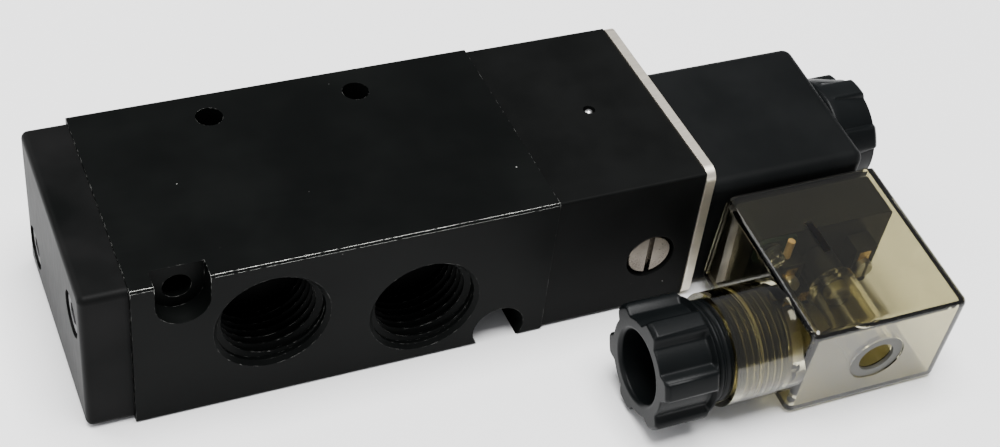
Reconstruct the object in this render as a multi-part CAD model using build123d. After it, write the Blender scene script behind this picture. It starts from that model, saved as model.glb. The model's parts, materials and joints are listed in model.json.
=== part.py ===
from build123d import *
import os

# Solenoid directional valve: a 5/2 spool valve with a pilot stage, a plug-in coil and a cable plug.
# Millimetres. +X runs from the spring end to the coil, +Z up from the face the valve rests on,
# and -Y is the side with the two work ports. The origin is the middle of the body's rest face.

# --- Main body --------------------------------------------------------------------------------
body_length = 82.5
body_width = 50.0
body_depth = 34.0
body_edge_chamfer = 0.4

bore_radius = 7.5
gallery_relief = 1.9
gallery_width = 7.0
gallery_pitch = 13.3

work_port_radius = 10.48        # G1/2, major radius
work_port_depth = 14.0
work_port_pitch = 30.3
work_port_rise = (2.0, -3.0)    # the two work ports stand above and below the bore's axis
supply_port_depth = 12.0
exhaust_port_radius = 8.33      # G3/8, major radius
exhaust_port_depth = 11.0
port_chamfer = 0.8
passage_radius = 3.4
drill_point_height = 2.0
feed_reach = 0.8                # share of the bore's radius that a port's feed reaches in to

mount_hole_radius = 2.7
mount_hole_spacing = 30.0
mount_hole_y = 17.7

manifold_screw_radius = 2.7
pocket_from_cap = 9.4
pocket_radius = 5.1
pocket_depth = 4.5
pocket_below_top = 5.0
notch_from_pilot = 9.7
notch_radius = 5.4
notch_rise = 3.3
notch_depth = 12.0
notch_screw_rise = 4.6

# --- End cap and its screws -------------------------------------------------------------------
cap_thickness = 8.9
cap_inset = 0.4
cap_side_inset = 0.9
cap_fillet = 1.4
spring_pocket_radius = 6.9
spring_pocket_depth = 5.5
cap_screw_sites = ((18.0, -8.8), (-16.8, 6.6))   # y, and height from the bore's axis
screw_core_radius = 2.1
screw_clearance_radius = 2.6
cap_counterbore_radius = 4.5
cap_counterbore_depth = 5.4
cap_head_radius = 4.25
cap_head_height = 5.0
cap_head_chamfer = 0.5
cap_socket_across = 4.0
cap_screw_bite = 8.5
gasket_thickness = 0.8
gasket_rim = 2.2
gasket_clear = 1.2

# --- Spool, seals, piston ---------------------------------------------------------------------
stroke = 5.0
spool_clearance = 0.08
seal_clearance = 0.04
seal_width = 2.2
seal_depth = 1.9
seal_margin = 1.6
land_margin = 1.9
neck_radius = 4.3
neck_taper = 1.0
spigot_radius = 4.4
spigot_length = 3.0
piston_radius = 11.9
piston_thickness = 5.6
piston_seal_width = 2.4
piston_seal_depth = 2.2
piston_gap = 0.6
piston_chamfer = 0.6
piston_dish_depth = 1.2
piston_dish_rim = 0.6           # shares of the piston's radius
piston_dish_floor = 0.5
spring_wire = 1.1
spring_turns = 4.0
spring_mean_radius = 5.6

# --- Pilot body, breather, manual override ----------------------------------------------------
pilot_length = 31.8
pilot_inset = 0.4
pilot_edge_fillet = 0.5
pilot_passage_radius = 1.0
breather_from_body = 17.4
breather_radius = 1.25
breather_depth = 2.4
breather_ball_radius = 1.15
override_from_body = 22.7
override_drop = 3.2
override_head_radius = 5.0
override_head_thickness = 3.2
override_recess = 0.5
override_head_gap = 0.3
override_spring_room = 5.0
override_press = 1.5
override_end_room = 0.5
override_head_chamfer = 0.5
override_tip_chamfer = 0.8
override_pin_radius = 3.0
override_pin_length = 12.0
override_slot_width = 1.2
override_slot_depth = 1.3
running_clearance = 0.05
oring_width = 1.5
oring_depth = 0.88
oring_from_tip = 3.5
oring_fit = 0.02
oring_crown = 0.3
override_wire = 0.6
override_spring_turns = 3.0

# --- Flange plate, guide tube, core, armature -------------------------------------------------
plate_thickness = 2.0
plate_corner = 2.5
plate_screw_sites = ((18.0, -11.0), (-18.5, 11.0))
plate_screw_core = 1.65
plate_screw_clearance = 2.2
plate_screw_head = 3.8
plate_screw_bite = 6.0
plate_slot_depth = 0.9
plate_slot_half_width = 0.5
tube_y = -3.3
tube_radius = 4.4
tube_wall = 0.6
tube_flange_radius = 9.5
tube_flange_thickness = 1.5
tube_ring_radius = 7.4
tube_ring_wire = 1.0
nozzle_radius = 2.5
nozzle_lip_radius = 1.2
nozzle_bore = 0.6
nozzle_length = 5.0
nozzle_room = 1.0         # the cavity in front of the nozzle
nozzle_lip_height = 0.6
nozzle_lip_taper = 0.6
armature_length = 19.0
armature_stroke = 1.3
armature_clearance = 0.06
armature_seal_radius = 2.4
armature_seal_thickness = 1.6
armature_seal_proud = 0.1
armature_nose_taper = 0.5
armature_chamfer = 0.3
armature_spring_pocket = 1.7
armature_spring_depth = 6.0
armature_wire = 0.4
armature_spring_clearance = 0.15
armature_spring_turns = 6.0
core_stud_radius = 3.9
core_chamfer = 0.3
stud_end_inset = 2.2
stud_chamfer = 0.6

# --- Coil and its nut -------------------------------------------------------------------------
coil_gap = 0.4
coil_length = 35.2
coil_front = 20.7         # from the tube's axis to the terminal face
coil_back = 13.8
coil_half_depth = 15.0
coil_fillet = 2.4
coil_hole_clearance = 0.15
coil_lean = 5.0           # degrees about the tube: the plug's far edge rests on the table
yoke_wall = 1.8
yoke_half_height = 13.2
yoke_half_width = 10.5
bobbin_wall = 1.0
bobbin_flange = 1.3
winding_radius = 10.8
bobbin_rim_margin = 0.4
washer_radius = 7.5
washer_thickness = 1.0
coil_nut_radius = 12.6
coil_nut_length = 10.6
nut_lobes = 8
nut_groove_width = 4.8
nut_groove_depth = 1.1
nut_rim = 1.6
nut_thread_clearance = 0.1
nut_recess_margin = 2.2
nut_recess_depth = 1.6

# --- Cable plug -------------------------------------------------------------------------------
plug_offset = 20.1        # plug's middle, from the plate's outer face plus the gap
plug_gasket = 1.0
plug_gasket_inset = 1.0
plug_gasket_end_inset = 3.0
plug_length = 37.0
plug_half_width = 17.4
plug_half_depth = 12.0
plug_wall = 1.6
plug_fillet = 1.6
column_radius = 4.9
column_bore = 3.7
column_floor = 1.8
column_end = 17.8         # from the plug's open end to the column's lower end
ring_radius = 5.9
ring_depth = 1.0
plug_screw_radius = 1.45
plug_screw_clearance = 1.7
plug_screw_head = 2.75
plug_screw_head_height = 2.4
plug_screw_bite = 5.0
plug_screw_chamfer = 0.4
plug_slot_depth = 1.0
plug_slot_half_width = 0.4

insert_clear = 0.25
insert_back = 1.0
insert_base = 10.0
tower_height = 4.2
tower_wall = 1.2
insert_boss_radius = 4.0
insert_fillet = 0.8
terminal_spread = 8.6
terminal_earth_drop = 6.2
blade_width = 6.3
blade_thickness = 0.8
blade_root = 6.0
blade_reach = 10.0
blade_tip_chamfer = 0.8
contact_wall = 0.8
contact_clear = 0.1
blade_end_room = 0.6
clamp_thread_share = 0.8   # the clamp screw's core, as a share of its radius
clamp_screw_radius = 1.3
clamp_head_radius = 2.1
clamp_head_height = 1.6
clamp_screw_length = 3.5
clamp_head_chamfer = 0.3
clamp_slot_depth = 0.7
clamp_slot_half_width = 0.35

board_thickness = 1.0
board_length = 8.0
board_width = 4.6
board_side_gap = 0.4
board_edge_gap = 0.2
board_chamfer = 0.4
led_from_edge = 0.5
resistor_from_end = 2.0
resistor_inset = 0.1
led_radius = 1.5
led_rim_radius = 1.9
led_rim_height = 0.8
led_height = 2.6
resistor_radius = 0.8
resistor_length = 4.6

# --- Cable gland ------------------------------------------------------------------------------
collar_radius = 11.2
collar_length = 14.3
collar_bore = 10.1
collar_mouth = 6.5
collar_bore_depth = 12.3
gland_head_radius = 12.4
gland_head_length = 11.5
gland_show = 4.0          # length of thread left showing between head and collar
gland_bite = 5.2
gland_stem_radius = 9.6
gland_cable_radius = 7.26
gland_washer_thickness = 1.0
gland_washer_bore = 6.4
gland_ring_clearance = 0.3
grommet_bore = 4.4
grommet_chamfer = 1.2

# --- Derived places ---------------------------------------------------------------------------
x_cap = -body_length / 2
x_pilot = body_length / 2
x_plate = x_pilot + pilot_length
x_plate_out = x_plate + plate_thickness
x_nozzle = x_plate - tube_flange_thickness - nozzle_room - nozzle_length
x_coil = x_plate_out + coil_gap
x_coil_out = x_coil + coil_length
z_mid = body_depth / 2
gallery_radius = bore_radius + gallery_relief
gallery_x = [i * gallery_pitch for i in (-2, -1, 0, 1, 2)]
chamber_length = piston_thickness + stroke + 2 * piston_gap
piston_x = x_pilot + piston_gap + stroke
coil_front_y = tube_y - coil_front
plug_back_y = coil_front_y - plug_gasket
plug_front_y = plug_back_y - plug_length
plug_x = x_coil + plug_offset
gland_y = plug_front_y + collar_radius
x_collar_in = plug_x - plug_half_width
x_collar = x_collar_in - collar_length
x_gland_face = x_collar - gland_show - gland_head_length
x_stem_end = x_collar + gland_bite
notch_x = x_pilot - notch_from_pilot
pocket_x = x_cap + pocket_from_cap
bore_axis = (0.0, z_mid)
tube_axis = (tube_y, z_mid)
terminals = (
    (plug_x - terminal_spread, z_mid, 90),
    (plug_x + terminal_spread, z_mid, 90),
    (plug_x, z_mid - terminal_earth_drop, 0),
)


# --- Helpers ----------------------------------------------------------------------------------
def block(x0, x1, y0, y1, z0, z1):
    """A box between two corners."""
    middle = Pos((x0 + x1) / 2, (y0 + y1) / 2, (z0 + z1) / 2)
    return middle * Box(abs(x1 - x0), abs(y1 - y0), abs(z1 - z0))


def round_x(radius, x0, x1, axis=bore_axis):
    """A cylinder along X about the line (y, z)."""
    return Pos((x0 + x1) / 2, axis[0], axis[1]) * Rot(0, 90, 0) * Cylinder(radius, abs(x1 - x0))


def round_y(radius, y0, y1, x, z):
    """A cylinder along Y."""
    return Pos(x, (y0 + y1) / 2, z) * Rot(90, 0, 0) * Cylinder(radius, abs(y1 - y0))


def round_z(radius, z0, z1, x, y):
    """A cylinder along Z."""
    return Pos(x, y, (z0 + z1) / 2) * Cylinder(radius, abs(z1 - z0))


def turned_x(profile, axis=bore_axis):
    """A solid of revolution about X, from (x, radius) points."""
    face = make_face(Polyline(*profile, close=True))
    return Pos(0, axis[0], axis[1]) * revolve(face, Axis.X)


def turned_y(profile, x, z):
    """A solid of revolution about Y, from (radius, y) points."""
    face = make_face(Polyline(*profile, close=True))
    return Pos(x, 0, z) * revolve(face, Axis.Y)


def lip_seal(x, width, inner, outer, axis=bore_axis):
    """A ring seal with a crowned outer lip, centred at x."""
    half, crown = width / 2, width / 6
    return turned_x(
        [(x - half, inner), (x + half, inner), (x + half, outer - crown), (x + crown, outer),
         (x - crown, outer), (x - half, outer - crown)], axis)


def coil_spring(mean_radius, wire, length, turns):
    """An open helical spring along +Z, its wire's ends inside the length."""
    rise = length - wire
    path = Helix(pitch=rise / turns, height=rise, radius=mean_radius)
    section = Plane(origin=path @ 0, z_dir=path % 0) * Circle(wire / 2)
    return Pos(0, 0, wire / 2) * sweep(section, path=path)


def leaning(shape):
    """Turn a piece of the coil group about the guide tube to its resting lean."""
    return Pos(0, tube_y, z_mid) * Rot(coil_lean, 0, 0) * Pos(0, -tube_y, -z_mid) * shape


def save(shape, node):
    """Write one node."""
    export_step(shape, f"parts/{node}.step")


# --- Main body --------------------------------------------------------------------------------
def port(x, side, z, radius, depth, feed_x):
    """The space of one threaded port: chamfer, thread bore, drill point and feed to its gallery."""
    face = side * body_width / 2
    floor = side * (body_width / 2 - depth)
    point = side * (body_width / 2 - depth - drill_point_height)
    thread = turned_y(
        [(0, face), (radius + port_chamfer, face), (radius, face - side * port_chamfer),
         (radius, floor), (passage_radius, point), (0, point)], x, z)
    return thread + round_y(passage_radius, floor, side * bore_radius * feed_reach, feed_x, z)


def main_body():
    body = block(x_cap, x_pilot, -body_width / 2, body_width / 2, 0, body_depth)
    body = chamfer(body.edges().filter_by(Axis.X), body_edge_chamfer)
    half = gallery_width / 2
    bore = [(x_cap, 0), (x_cap, bore_radius)]
    for x in gallery_x:
        bore += [(x - half, bore_radius), (x - half, gallery_radius),
                 (x + half, gallery_radius), (x + half, bore_radius)]
    bore += [(x_pilot, bore_radius), (x_pilot, 0)]
    body -= turned_x(bore)
    for index, rise in enumerate(work_port_rise):
        x = (index - 0.5) * work_port_pitch
        feed = gallery_x[1 + 2 * index]
        body -= port(x, -1, z_mid + rise, work_port_radius, work_port_depth, feed)
    body -= port(0, 1, z_mid, work_port_radius, supply_port_depth, 0)
    for x in (gallery_x[0], gallery_x[4]):
        body -= port(x, 1, z_mid, exhaust_port_radius, exhaust_port_depth, x)
    for side in (-1, 1):
        body -= round_z(mount_hole_radius, 0, body_depth, side * mount_hole_spacing / 2, mount_hole_y)
    return cut_screw_ways(body)


def cut_screw_ways(body):
    """The pocket, the notch and the holes for the manifold, cap and pilot screws."""
    front = -body_width / 2
    pocket_z = body_depth - pocket_below_top
    body -= round_y(pocket_radius, front, front + pocket_depth, pocket_x, pocket_z)
    body -= block(pocket_x - pocket_radius, pocket_x + pocket_radius,
                  front, front + pocket_depth, pocket_z, body_depth)
    body -= round_y(notch_radius, front, front + notch_depth, notch_x, notch_rise)
    body -= round_y(manifold_screw_radius, front, -front, pocket_x, pocket_z)
    body -= round_y(manifold_screw_radius, front, -front, notch_x, notch_screw_rise)
    for y, rise in cap_screw_sites:
        body -= round_x(screw_core_radius, x_cap, x_cap + cap_screw_bite, (y, z_mid + rise))
    for y, rise in plate_screw_sites:
        body -= round_x(plate_screw_core, x_pilot - plate_screw_bite, x_pilot, (y, z_mid + rise))
    return body


# --- End cap ----------------------------------------------------------------------------------
def end_cap():
    outer = x_cap - cap_thickness
    half = body_width / 2 - cap_side_inset
    cap = block(outer, x_cap, -half, half, cap_inset, body_depth - cap_inset)
    cap = fillet(cap.edges().filter_by(Axis.X) + cap.faces().sort_by(Axis.X)[0].edges(), cap_fillet)
    cap -= round_x(spring_pocket_radius, x_cap - spring_pocket_depth, x_cap)
    cap -= ring_space(x_cap - gasket_thickness, x_cap)
    for y, rise in cap_screw_sites:
        axis = (y, z_mid + rise)
        cap -= round_x(screw_clearance_radius, outer, x_cap, axis)
        cap -= round_x(cap_counterbore_radius, outer, outer + cap_counterbore_depth, axis)
    return cap


def ring_space(x0, x1):
    """The flat ring groove that holds a face gasket round the bore."""
    inner = bore_radius + gasket_clear
    return turned_x([(x0, inner), (x1, inner), (x1, inner + gasket_rim), (x0, inner + gasket_rim)])


def end_cap_screws():
    screws = []
    outer = x_cap - cap_thickness
    seat = outer + cap_counterbore_depth
    for y, rise in cap_screw_sites:
        axis = (y, z_mid + rise)
        screw = round_x(cap_head_radius, seat - cap_head_height, seat, axis)
        screw = chamfer(screw.edges().sort_by(Axis.X)[0], cap_head_chamfer)
        socket = Plane(origin=(seat - cap_head_height, *axis), z_dir=(1, 0, 0)) * RegularPolygon(
            cap_socket_across / 2, 6, major_radius=False)
        screw -= extrude(socket, amount=cap_head_height / 2)
        screw += round_x(screw_core_radius, seat, x_cap + cap_screw_bite, axis)
        screws.append(screw)
    return Compound(screws)


# --- Spool train ------------------------------------------------------------------------------
def seal_places():
    """The six seals at rest: one outside each exhaust gallery, four that open and shut the lands."""
    half, shift = gallery_width / 2, stroke / 2
    return [gallery_x[0] - half - seal_margin,
            gallery_x[1] - half + shift, gallery_x[1] + half + shift,
            gallery_x[3] - half + shift, gallery_x[3] + half + shift,
            gallery_x[4] + half + seal_margin + stroke]


def spool():
    seals = seal_places()
    radius = bore_radius - spool_clearance
    floor = bore_radius - seal_depth
    left, right = seals[0] - land_margin, seals[5] + land_margin
    lands = [(left, seals[0] + land_margin), (seals[1] - land_margin, seals[2] + land_margin),
             (seals[3] - land_margin, seals[4] + land_margin), (seals[5] - land_margin, right)]
    profile = [(left - spigot_length, 0), (left - spigot_length, spigot_radius), (left, spigot_radius)]
    for number, (start, end) in enumerate(lands):
        profile.append((start, radius))
        for x in [s for s in seals if start < s < end]:
            profile += [(x - seal_width / 2, radius), (x - seal_width / 2, floor),
                        (x + seal_width / 2, floor), (x + seal_width / 2, radius)]
        profile.append((end, radius))
        if number < len(lands) - 1:
            next_start = lands[number + 1][0]
            profile += [(end + neck_taper, neck_radius), (next_start - neck_taper, neck_radius)]
    profile += [(right, neck_radius), (piston_x, neck_radius), (piston_x, 0)]
    return turned_x(profile)


def spool_seals():
    floor = bore_radius - seal_depth
    return Compound([
        lip_seal(x, seal_width, floor, bore_radius - seal_clearance) for x in seal_places()])


def pilot_piston():
    end = piston_x + piston_thickness
    middle = piston_x + piston_thickness / 2
    half = piston_seal_width / 2
    floor = piston_radius - piston_seal_depth
    shoulder = piston_radius - piston_chamfer
    dish = end - piston_dish_depth
    return turned_x([
        (piston_x, 0), (piston_x, shoulder), (piston_x + piston_chamfer, piston_radius),
        (middle - half, piston_radius), (middle - half, floor), (middle + half, floor),
        (middle + half, piston_radius), (end - piston_chamfer, piston_radius), (end, shoulder),
        (end, piston_radius * piston_dish_rim), (dish, piston_radius * piston_dish_floor), (dish, 0)])


def piston_seal():
    return lip_seal(piston_x + piston_thickness / 2, piston_seal_width,
                    piston_radius - piston_seal_depth, piston_radius + seal_clearance)


def return_spring():
    start = x_cap - spring_pocket_depth
    length = seal_places()[0] - land_margin - start
    spring = coil_spring(spring_mean_radius, spring_wire, length, spring_turns)
    return Pos(start, 0, z_mid) * Rot(0, 90, 0) * spring


# --- Pilot body and what it holds -------------------------------------------------------------
def pilot_body():
    half = body_width / 2 - pilot_inset
    front = -half
    body = block(x_pilot, x_plate, -half, half, pilot_inset, body_depth - pilot_inset)
    body = fillet(body.edges().filter_by(Axis.X), pilot_edge_fillet)
    body -= round_x(piston_radius + 2 * running_clearance, x_pilot, x_pilot + chamber_length)
    body -= pilot_ring_space()
    nozzle_start = x_nozzle
    body -= round_x(pilot_passage_radius, x_pilot + chamber_length, nozzle_start, tube_axis)
    body -= round_x(nozzle_radius, nozzle_start, nozzle_start + nozzle_length, tube_axis)
    body -= round_x(tube_radius, nozzle_start + nozzle_length, x_plate, tube_axis)
    body -= round_x(tube_flange_radius, x_plate - tube_flange_thickness, x_plate, tube_axis)
    body -= tube_ring_groove()
    for y, rise in plate_screw_sites:
        body -= round_x(plate_screw_clearance, x_pilot, x_plate, (y, z_mid + rise))
    top = body_depth - pilot_inset
    body -= round_z(breather_radius, top - breather_depth, top, x_pilot + breather_from_body, 0)
    x, z = x_pilot + override_from_body, z_mid - override_drop
    head_end = front + override_recess + override_head_thickness + override_spring_room
    tip = head_end + override_pin_length - override_spring_room + override_press + override_end_room
    body -= round_y(override_head_radius + override_head_gap, front, head_end, x, z)
    body -= round_y(override_pin_radius + running_clearance, head_end, tip, x, z)
    return body


def pilot_ring_space():
    inner = piston_radius + gasket_clear
    return turned_x([(x_pilot, inner), (x_pilot + gasket_thickness, inner),
                     (x_pilot + gasket_thickness, inner + gasket_rim), (x_pilot, inner + gasket_rim)])


def tube_ring_groove():
    half = tube_ring_wire / 2
    x = x_plate - tube_flange_thickness
    return turned_x([(x - tube_ring_wire, tube_ring_radius - half), (x, tube_ring_radius - half),
                     (x, tube_ring_radius + half), (x - tube_ring_wire, tube_ring_radius + half)], tube_axis)


def tube_ring():
    x = x_plate - tube_flange_thickness - tube_ring_wire / 2
    return Pos(x, *tube_axis) * Rot(0, 90, 0) * Torus(tube_ring_radius, tube_ring_wire / 2)


def pilot_nozzle():
    start, end = x_nozzle, x_nozzle + nozzle_length
    lip = end + nozzle_lip_height
    return turned_x([(start, nozzle_bore), (start, nozzle_radius), (end, nozzle_radius),
                     (end, nozzle_lip_radius + nozzle_lip_taper), (lip, nozzle_lip_radius),
                     (lip, nozzle_bore)], tube_axis)


def breather_ball():
    z = body_depth - pilot_inset - breather_depth + breather_ball_radius
    return Pos(x_pilot + breather_from_body, 0, z) * Sphere(breather_ball_radius)


def override_places():
    """The override's axis, and the y of its head's face and shaft's tip."""
    x, z = x_pilot + override_from_body, z_mid - override_drop
    face = -(body_width / 2 - pilot_inset) + override_recess
    return x, z, face, face + override_head_thickness + override_pin_length


def override_pin():
    x, z, face, tip = override_places()
    shoulder = face + override_head_thickness
    groove = tip - oring_from_tip
    half = oring_width / 2 + running_clearance
    floor = override_pin_radius - oring_depth
    pin = turned_y([
        (0, face), (override_head_radius - override_head_chamfer, face),
        (override_head_radius, face + override_head_chamfer),
        (override_head_radius, shoulder), (override_pin_radius, shoulder),
        (override_pin_radius, groove - half), (floor, groove - half), (floor, groove + half),
        (override_pin_radius, groove + half), (override_pin_radius, tip - override_tip_chamfer),
        (override_pin_radius - override_tip_chamfer, tip), (0, tip)], x, z)
    half_slot = override_slot_width / 2
    return pin - block(x - half_slot, x + half_slot, face, face + override_slot_depth,
                       z - override_head_radius, z + override_head_radius)


def override_oring():
    x, z, _, tip = override_places()
    y = tip - oring_from_tip
    half = oring_width / 2
    inner = override_pin_radius - oring_depth + oring_fit
    outer = override_pin_radius + oring_fit
    crown = oring_crown
    return turned_y([(inner, y - half), (outer - crown, y - half), (outer, y - crown),
                     (outer, y + crown), (outer - crown, y + half), (inner, y + half)], x, z)


def override_spring():
    x, z, face, _ = override_places()
    start = face + override_head_thickness
    radius = (override_pin_radius + override_head_radius) / 2
    spring = coil_spring(radius, override_wire, override_spring_room, override_spring_turns)
    return Pos(x, start, z) * Rot(-90, 0, 0) * spring


# --- Flange plate, tube, core and armature ----------------------------------------------------
def flange_plate():
    outline = Plane(origin=(x_plate, 0, z_mid), x_dir=(0, 1, 0), z_dir=(1, 0, 0)) * RectangleRounded(
        body_width, body_depth, plate_corner)
    plate = extrude(outline, amount=plate_thickness)
    plate -= round_x(tube_radius + running_clearance, x_plate, x_plate_out, tube_axis)
    for y, rise in plate_screw_sites:
        plate -= countersink((y, z_mid + rise))
    return plate


def countersink(axis):
    """The head space and head of a flush plate screw."""
    return turned_x([(x_plate, 0), (x_plate, plate_screw_clearance),
                     (x_plate_out, plate_screw_head), (x_plate_out, 0)], axis)


def plate_screws():
    screws = []
    for y, rise in plate_screw_sites:
        axis = (y, z_mid + rise)
        screw = countersink(axis)
        screw += round_x(plate_screw_core, x_pilot - plate_screw_bite, x_plate, axis)
        slot = block(x_plate_out - plate_slot_depth, x_plate_out, y - plate_screw_head, y + plate_screw_head,
                     z_mid + rise - plate_slot_half_width, z_mid + rise + plate_slot_half_width)
        screws.append(screw - slot)
    return Compound(screws)


def guide_tube():
    start = x_plate - tube_flange_thickness
    bore = tube_radius - tube_wall
    return turned_x([(start, bore), (start, tube_flange_radius), (x_plate, tube_flange_radius),
                     (x_plate, tube_radius), (x_coil_out, tube_radius), (x_coil_out, bore)], tube_axis)


def armature_start():
    """The armature's end at rest: its seal's face touches the nozzle's lip."""
    return x_plate - tube_flange_thickness - nozzle_room + nozzle_lip_height


def fixed_core():
    start = armature_start() + armature_length + armature_stroke
    bore = tube_radius - tube_wall
    stud_end = x_coil_out + washer_thickness + coil_nut_length - stud_end_inset
    return turned_x([(start, 0), (start, bore - core_chamfer), (start + core_chamfer, bore),
                     (x_coil_out, bore), (x_coil_out, core_stud_radius),
                     (stud_end - stud_chamfer, core_stud_radius),
                     (stud_end, core_stud_radius - stud_chamfer), (stud_end, 0)], tube_axis)


def armature():
    start = armature_start()
    end = start + armature_length
    radius = tube_radius - tube_wall - armature_clearance
    seat, nose = start + armature_seal_thickness, start + armature_seal_proud
    return turned_x([
        (seat, 0), (seat, armature_seal_radius), (nose, armature_seal_radius),
        (nose, radius - armature_nose_taper), (nose + armature_nose_taper, radius),
        (end - armature_chamfer, radius), (end, radius - armature_chamfer),
        (end, armature_spring_pocket), (end - armature_spring_depth, armature_spring_pocket),
        (end - armature_spring_depth, 0)], tube_axis)


def armature_seal():
    start = armature_start()
    return round_x(armature_seal_radius, start, start + armature_seal_thickness, tube_axis)


def armature_spring():
    end = armature_start() + armature_length
    length = armature_spring_depth + armature_stroke
    radius = armature_spring_pocket - armature_wire / 2 - armature_spring_clearance
    spring = coil_spring(radius, armature_wire, length, armature_spring_turns)
    return Pos(end - armature_spring_depth, *tube_axis) * Rot(0, 90, 0) * spring


# --- Coil -------------------------------------------------------------------------------------
def coil_hole(x0, x1):
    return round_x(tube_radius + coil_hole_clearance, x0, x1, tube_axis)


def yoke_frame():
    """The steel frame round the winding, before its hole."""
    x0, x1 = x_coil + yoke_wall, x_coil_out - yoke_wall
    low, high = z_mid - yoke_half_height, z_mid + yoke_half_height
    y0, y1 = tube_y - yoke_half_width, tube_y + yoke_half_width
    frame = block(x0, x1, y0, y1, low, high)
    return frame - block(x0 + yoke_wall, x1 - yoke_wall, y0, y1, low + yoke_wall, high - yoke_wall)


def bobbin_shape():
    x0, x1 = x_coil + 2 * yoke_wall, x_coil_out - 2 * yoke_wall
    bore = tube_radius + coil_hole_clearance
    hub = bore + bobbin_wall
    rim = winding_radius + bobbin_rim_margin
    return turned_x([(x0, bore), (x0, rim), (x0 + bobbin_flange, rim), (x0 + bobbin_flange, hub),
                     (x1 - bobbin_flange, hub), (x1 - bobbin_flange, rim), (x1, rim), (x1, bore)],
                    tube_axis)


def winding():
    x0 = x_coil + 2 * yoke_wall + bobbin_flange
    x1 = x_coil_out - 2 * yoke_wall - bobbin_flange
    hub = tube_radius + coil_hole_clearance + bobbin_wall
    return turned_x([(x0, hub), (x0, winding_radius), (x1, winding_radius), (x1, hub)], tube_axis)


def coil_body():
    body = block(x_coil, x_coil_out, coil_front_y, tube_y + coil_back,
                 z_mid - coil_half_depth, z_mid + coil_half_depth)
    body = fillet(body.edges().filter_by(Axis.X) + body.faces().sort_by(Axis.X)[-1].edges(), coil_fillet)
    body -= coil_hole(x_coil, x_coil_out)
    body -= yoke_frame()
    body -= bobbin_shape()
    body -= winding()
    for x, z, turn in terminals:
        body -= blade(x, z, turn)
    return body - round_y(plug_screw_radius, coil_front_y, coil_front_y + plug_screw_bite, plug_x, z_mid)


def blade(x, z, turn):
    """One flat terminal blade, standing out of the coil's front face."""
    root, tip = coil_front_y + blade_root, coil_front_y - blade_reach
    shape = block(-blade_width / 2, blade_width / 2, tip, root, -blade_thickness / 2, blade_thickness / 2)
    corners = shape.faces().sort_by(Axis.Y)[0].edges().filter_by(Axis.Z)
    return Pos(x, 0, z) * Rot(0, turn, 0) * chamfer(corners, blade_tip_chamfer)


# --- Nuts -------------------------------------------------------------------------------------
def lobed_outline(radius):
    """A round with flat-bottomed grooves between its grip lobes."""
    outline = Circle(radius)
    for place in PolarLocations(radius, nut_lobes):
        outline -= place * Rectangle(2 * nut_groove_depth, nut_groove_width)
    return outline


def lobed_grip(radius, x0, x1, axis):
    """A gripped nut head along X with rounded rims."""
    start = Plane(origin=(x0, *axis), x_dir=(0, 1, 0), z_dir=(1, 0, 0))
    grip = extrude(start * lobed_outline(radius), amount=x1 - x0)
    rim = nut_rim
    return grip & turned_x([(x0, 0), (x0, radius - rim), (x0 + rim, radius),
                            (x1 - rim, radius), (x1, radius - rim), (x1, 0)], axis)


def coil_nut():
    start = x_coil_out + washer_thickness
    end = start + coil_nut_length
    nut = lobed_grip(coil_nut_radius, start, end, tube_axis)
    nut -= round_x(core_stud_radius + nut_thread_clearance, start, end, tube_axis)
    return nut - round_x(core_stud_radius + nut_recess_margin, end - nut_recess_depth, end, tube_axis)


def coil_washer():
    bore = core_stud_radius + nut_thread_clearance
    return turned_x([(x_coil_out, bore), (x_coil_out, washer_radius),
                     (x_coil_out + washer_thickness, washer_radius),
                     (x_coil_out + washer_thickness, bore)], tube_axis)


def gland_axis():
    return gland_y, z_mid


def gland_nut():
    head_end = x_gland_face + gland_head_length
    nut = lobed_grip(gland_head_radius, x_gland_face, head_end, gland_axis())
    nut += round_x(gland_stem_radius, head_end, x_stem_end, gland_axis())
    return nut - round_x(gland_cable_radius, x_gland_face, x_stem_end, gland_axis())


def gland_washer():
    outer = collar_bore - gland_ring_clearance
    end = x_stem_end + gland_washer_thickness
    return turned_x([(x_stem_end, gland_washer_bore), (x_stem_end, outer), (end, outer),
                     (end, gland_washer_bore)], gland_axis())


def gland_grommet():
    start = x_stem_end + gland_washer_thickness
    end = x_collar + collar_bore_depth
    outer = collar_bore - gland_ring_clearance
    return turned_x([(start, grommet_bore), (start, outer), (end - grommet_chamfer, outer),
                     (end, outer - grommet_chamfer), (end, grommet_bore)], gland_axis())


# --- Plug -------------------------------------------------------------------------------------
def plug_gasket_sheet():
    half = plug_half_depth - plug_gasket_inset
    start = plug_x - plug_half_width + plug_gasket_inset
    end = plug_x + plug_half_width - plug_gasket_end_inset
    sheet = block(start, end, plug_back_y, coil_front_y, z_mid - half, z_mid + half)
    sheet = fillet(sheet.edges().filter_by(Axis.Y), plug_fillet)
    sheet -= round_y(plug_screw_clearance, plug_back_y, coil_front_y, plug_x, z_mid)
    for x, z, turn in terminals:
        sheet -= blade(x, z, turn)
    return sheet


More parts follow.
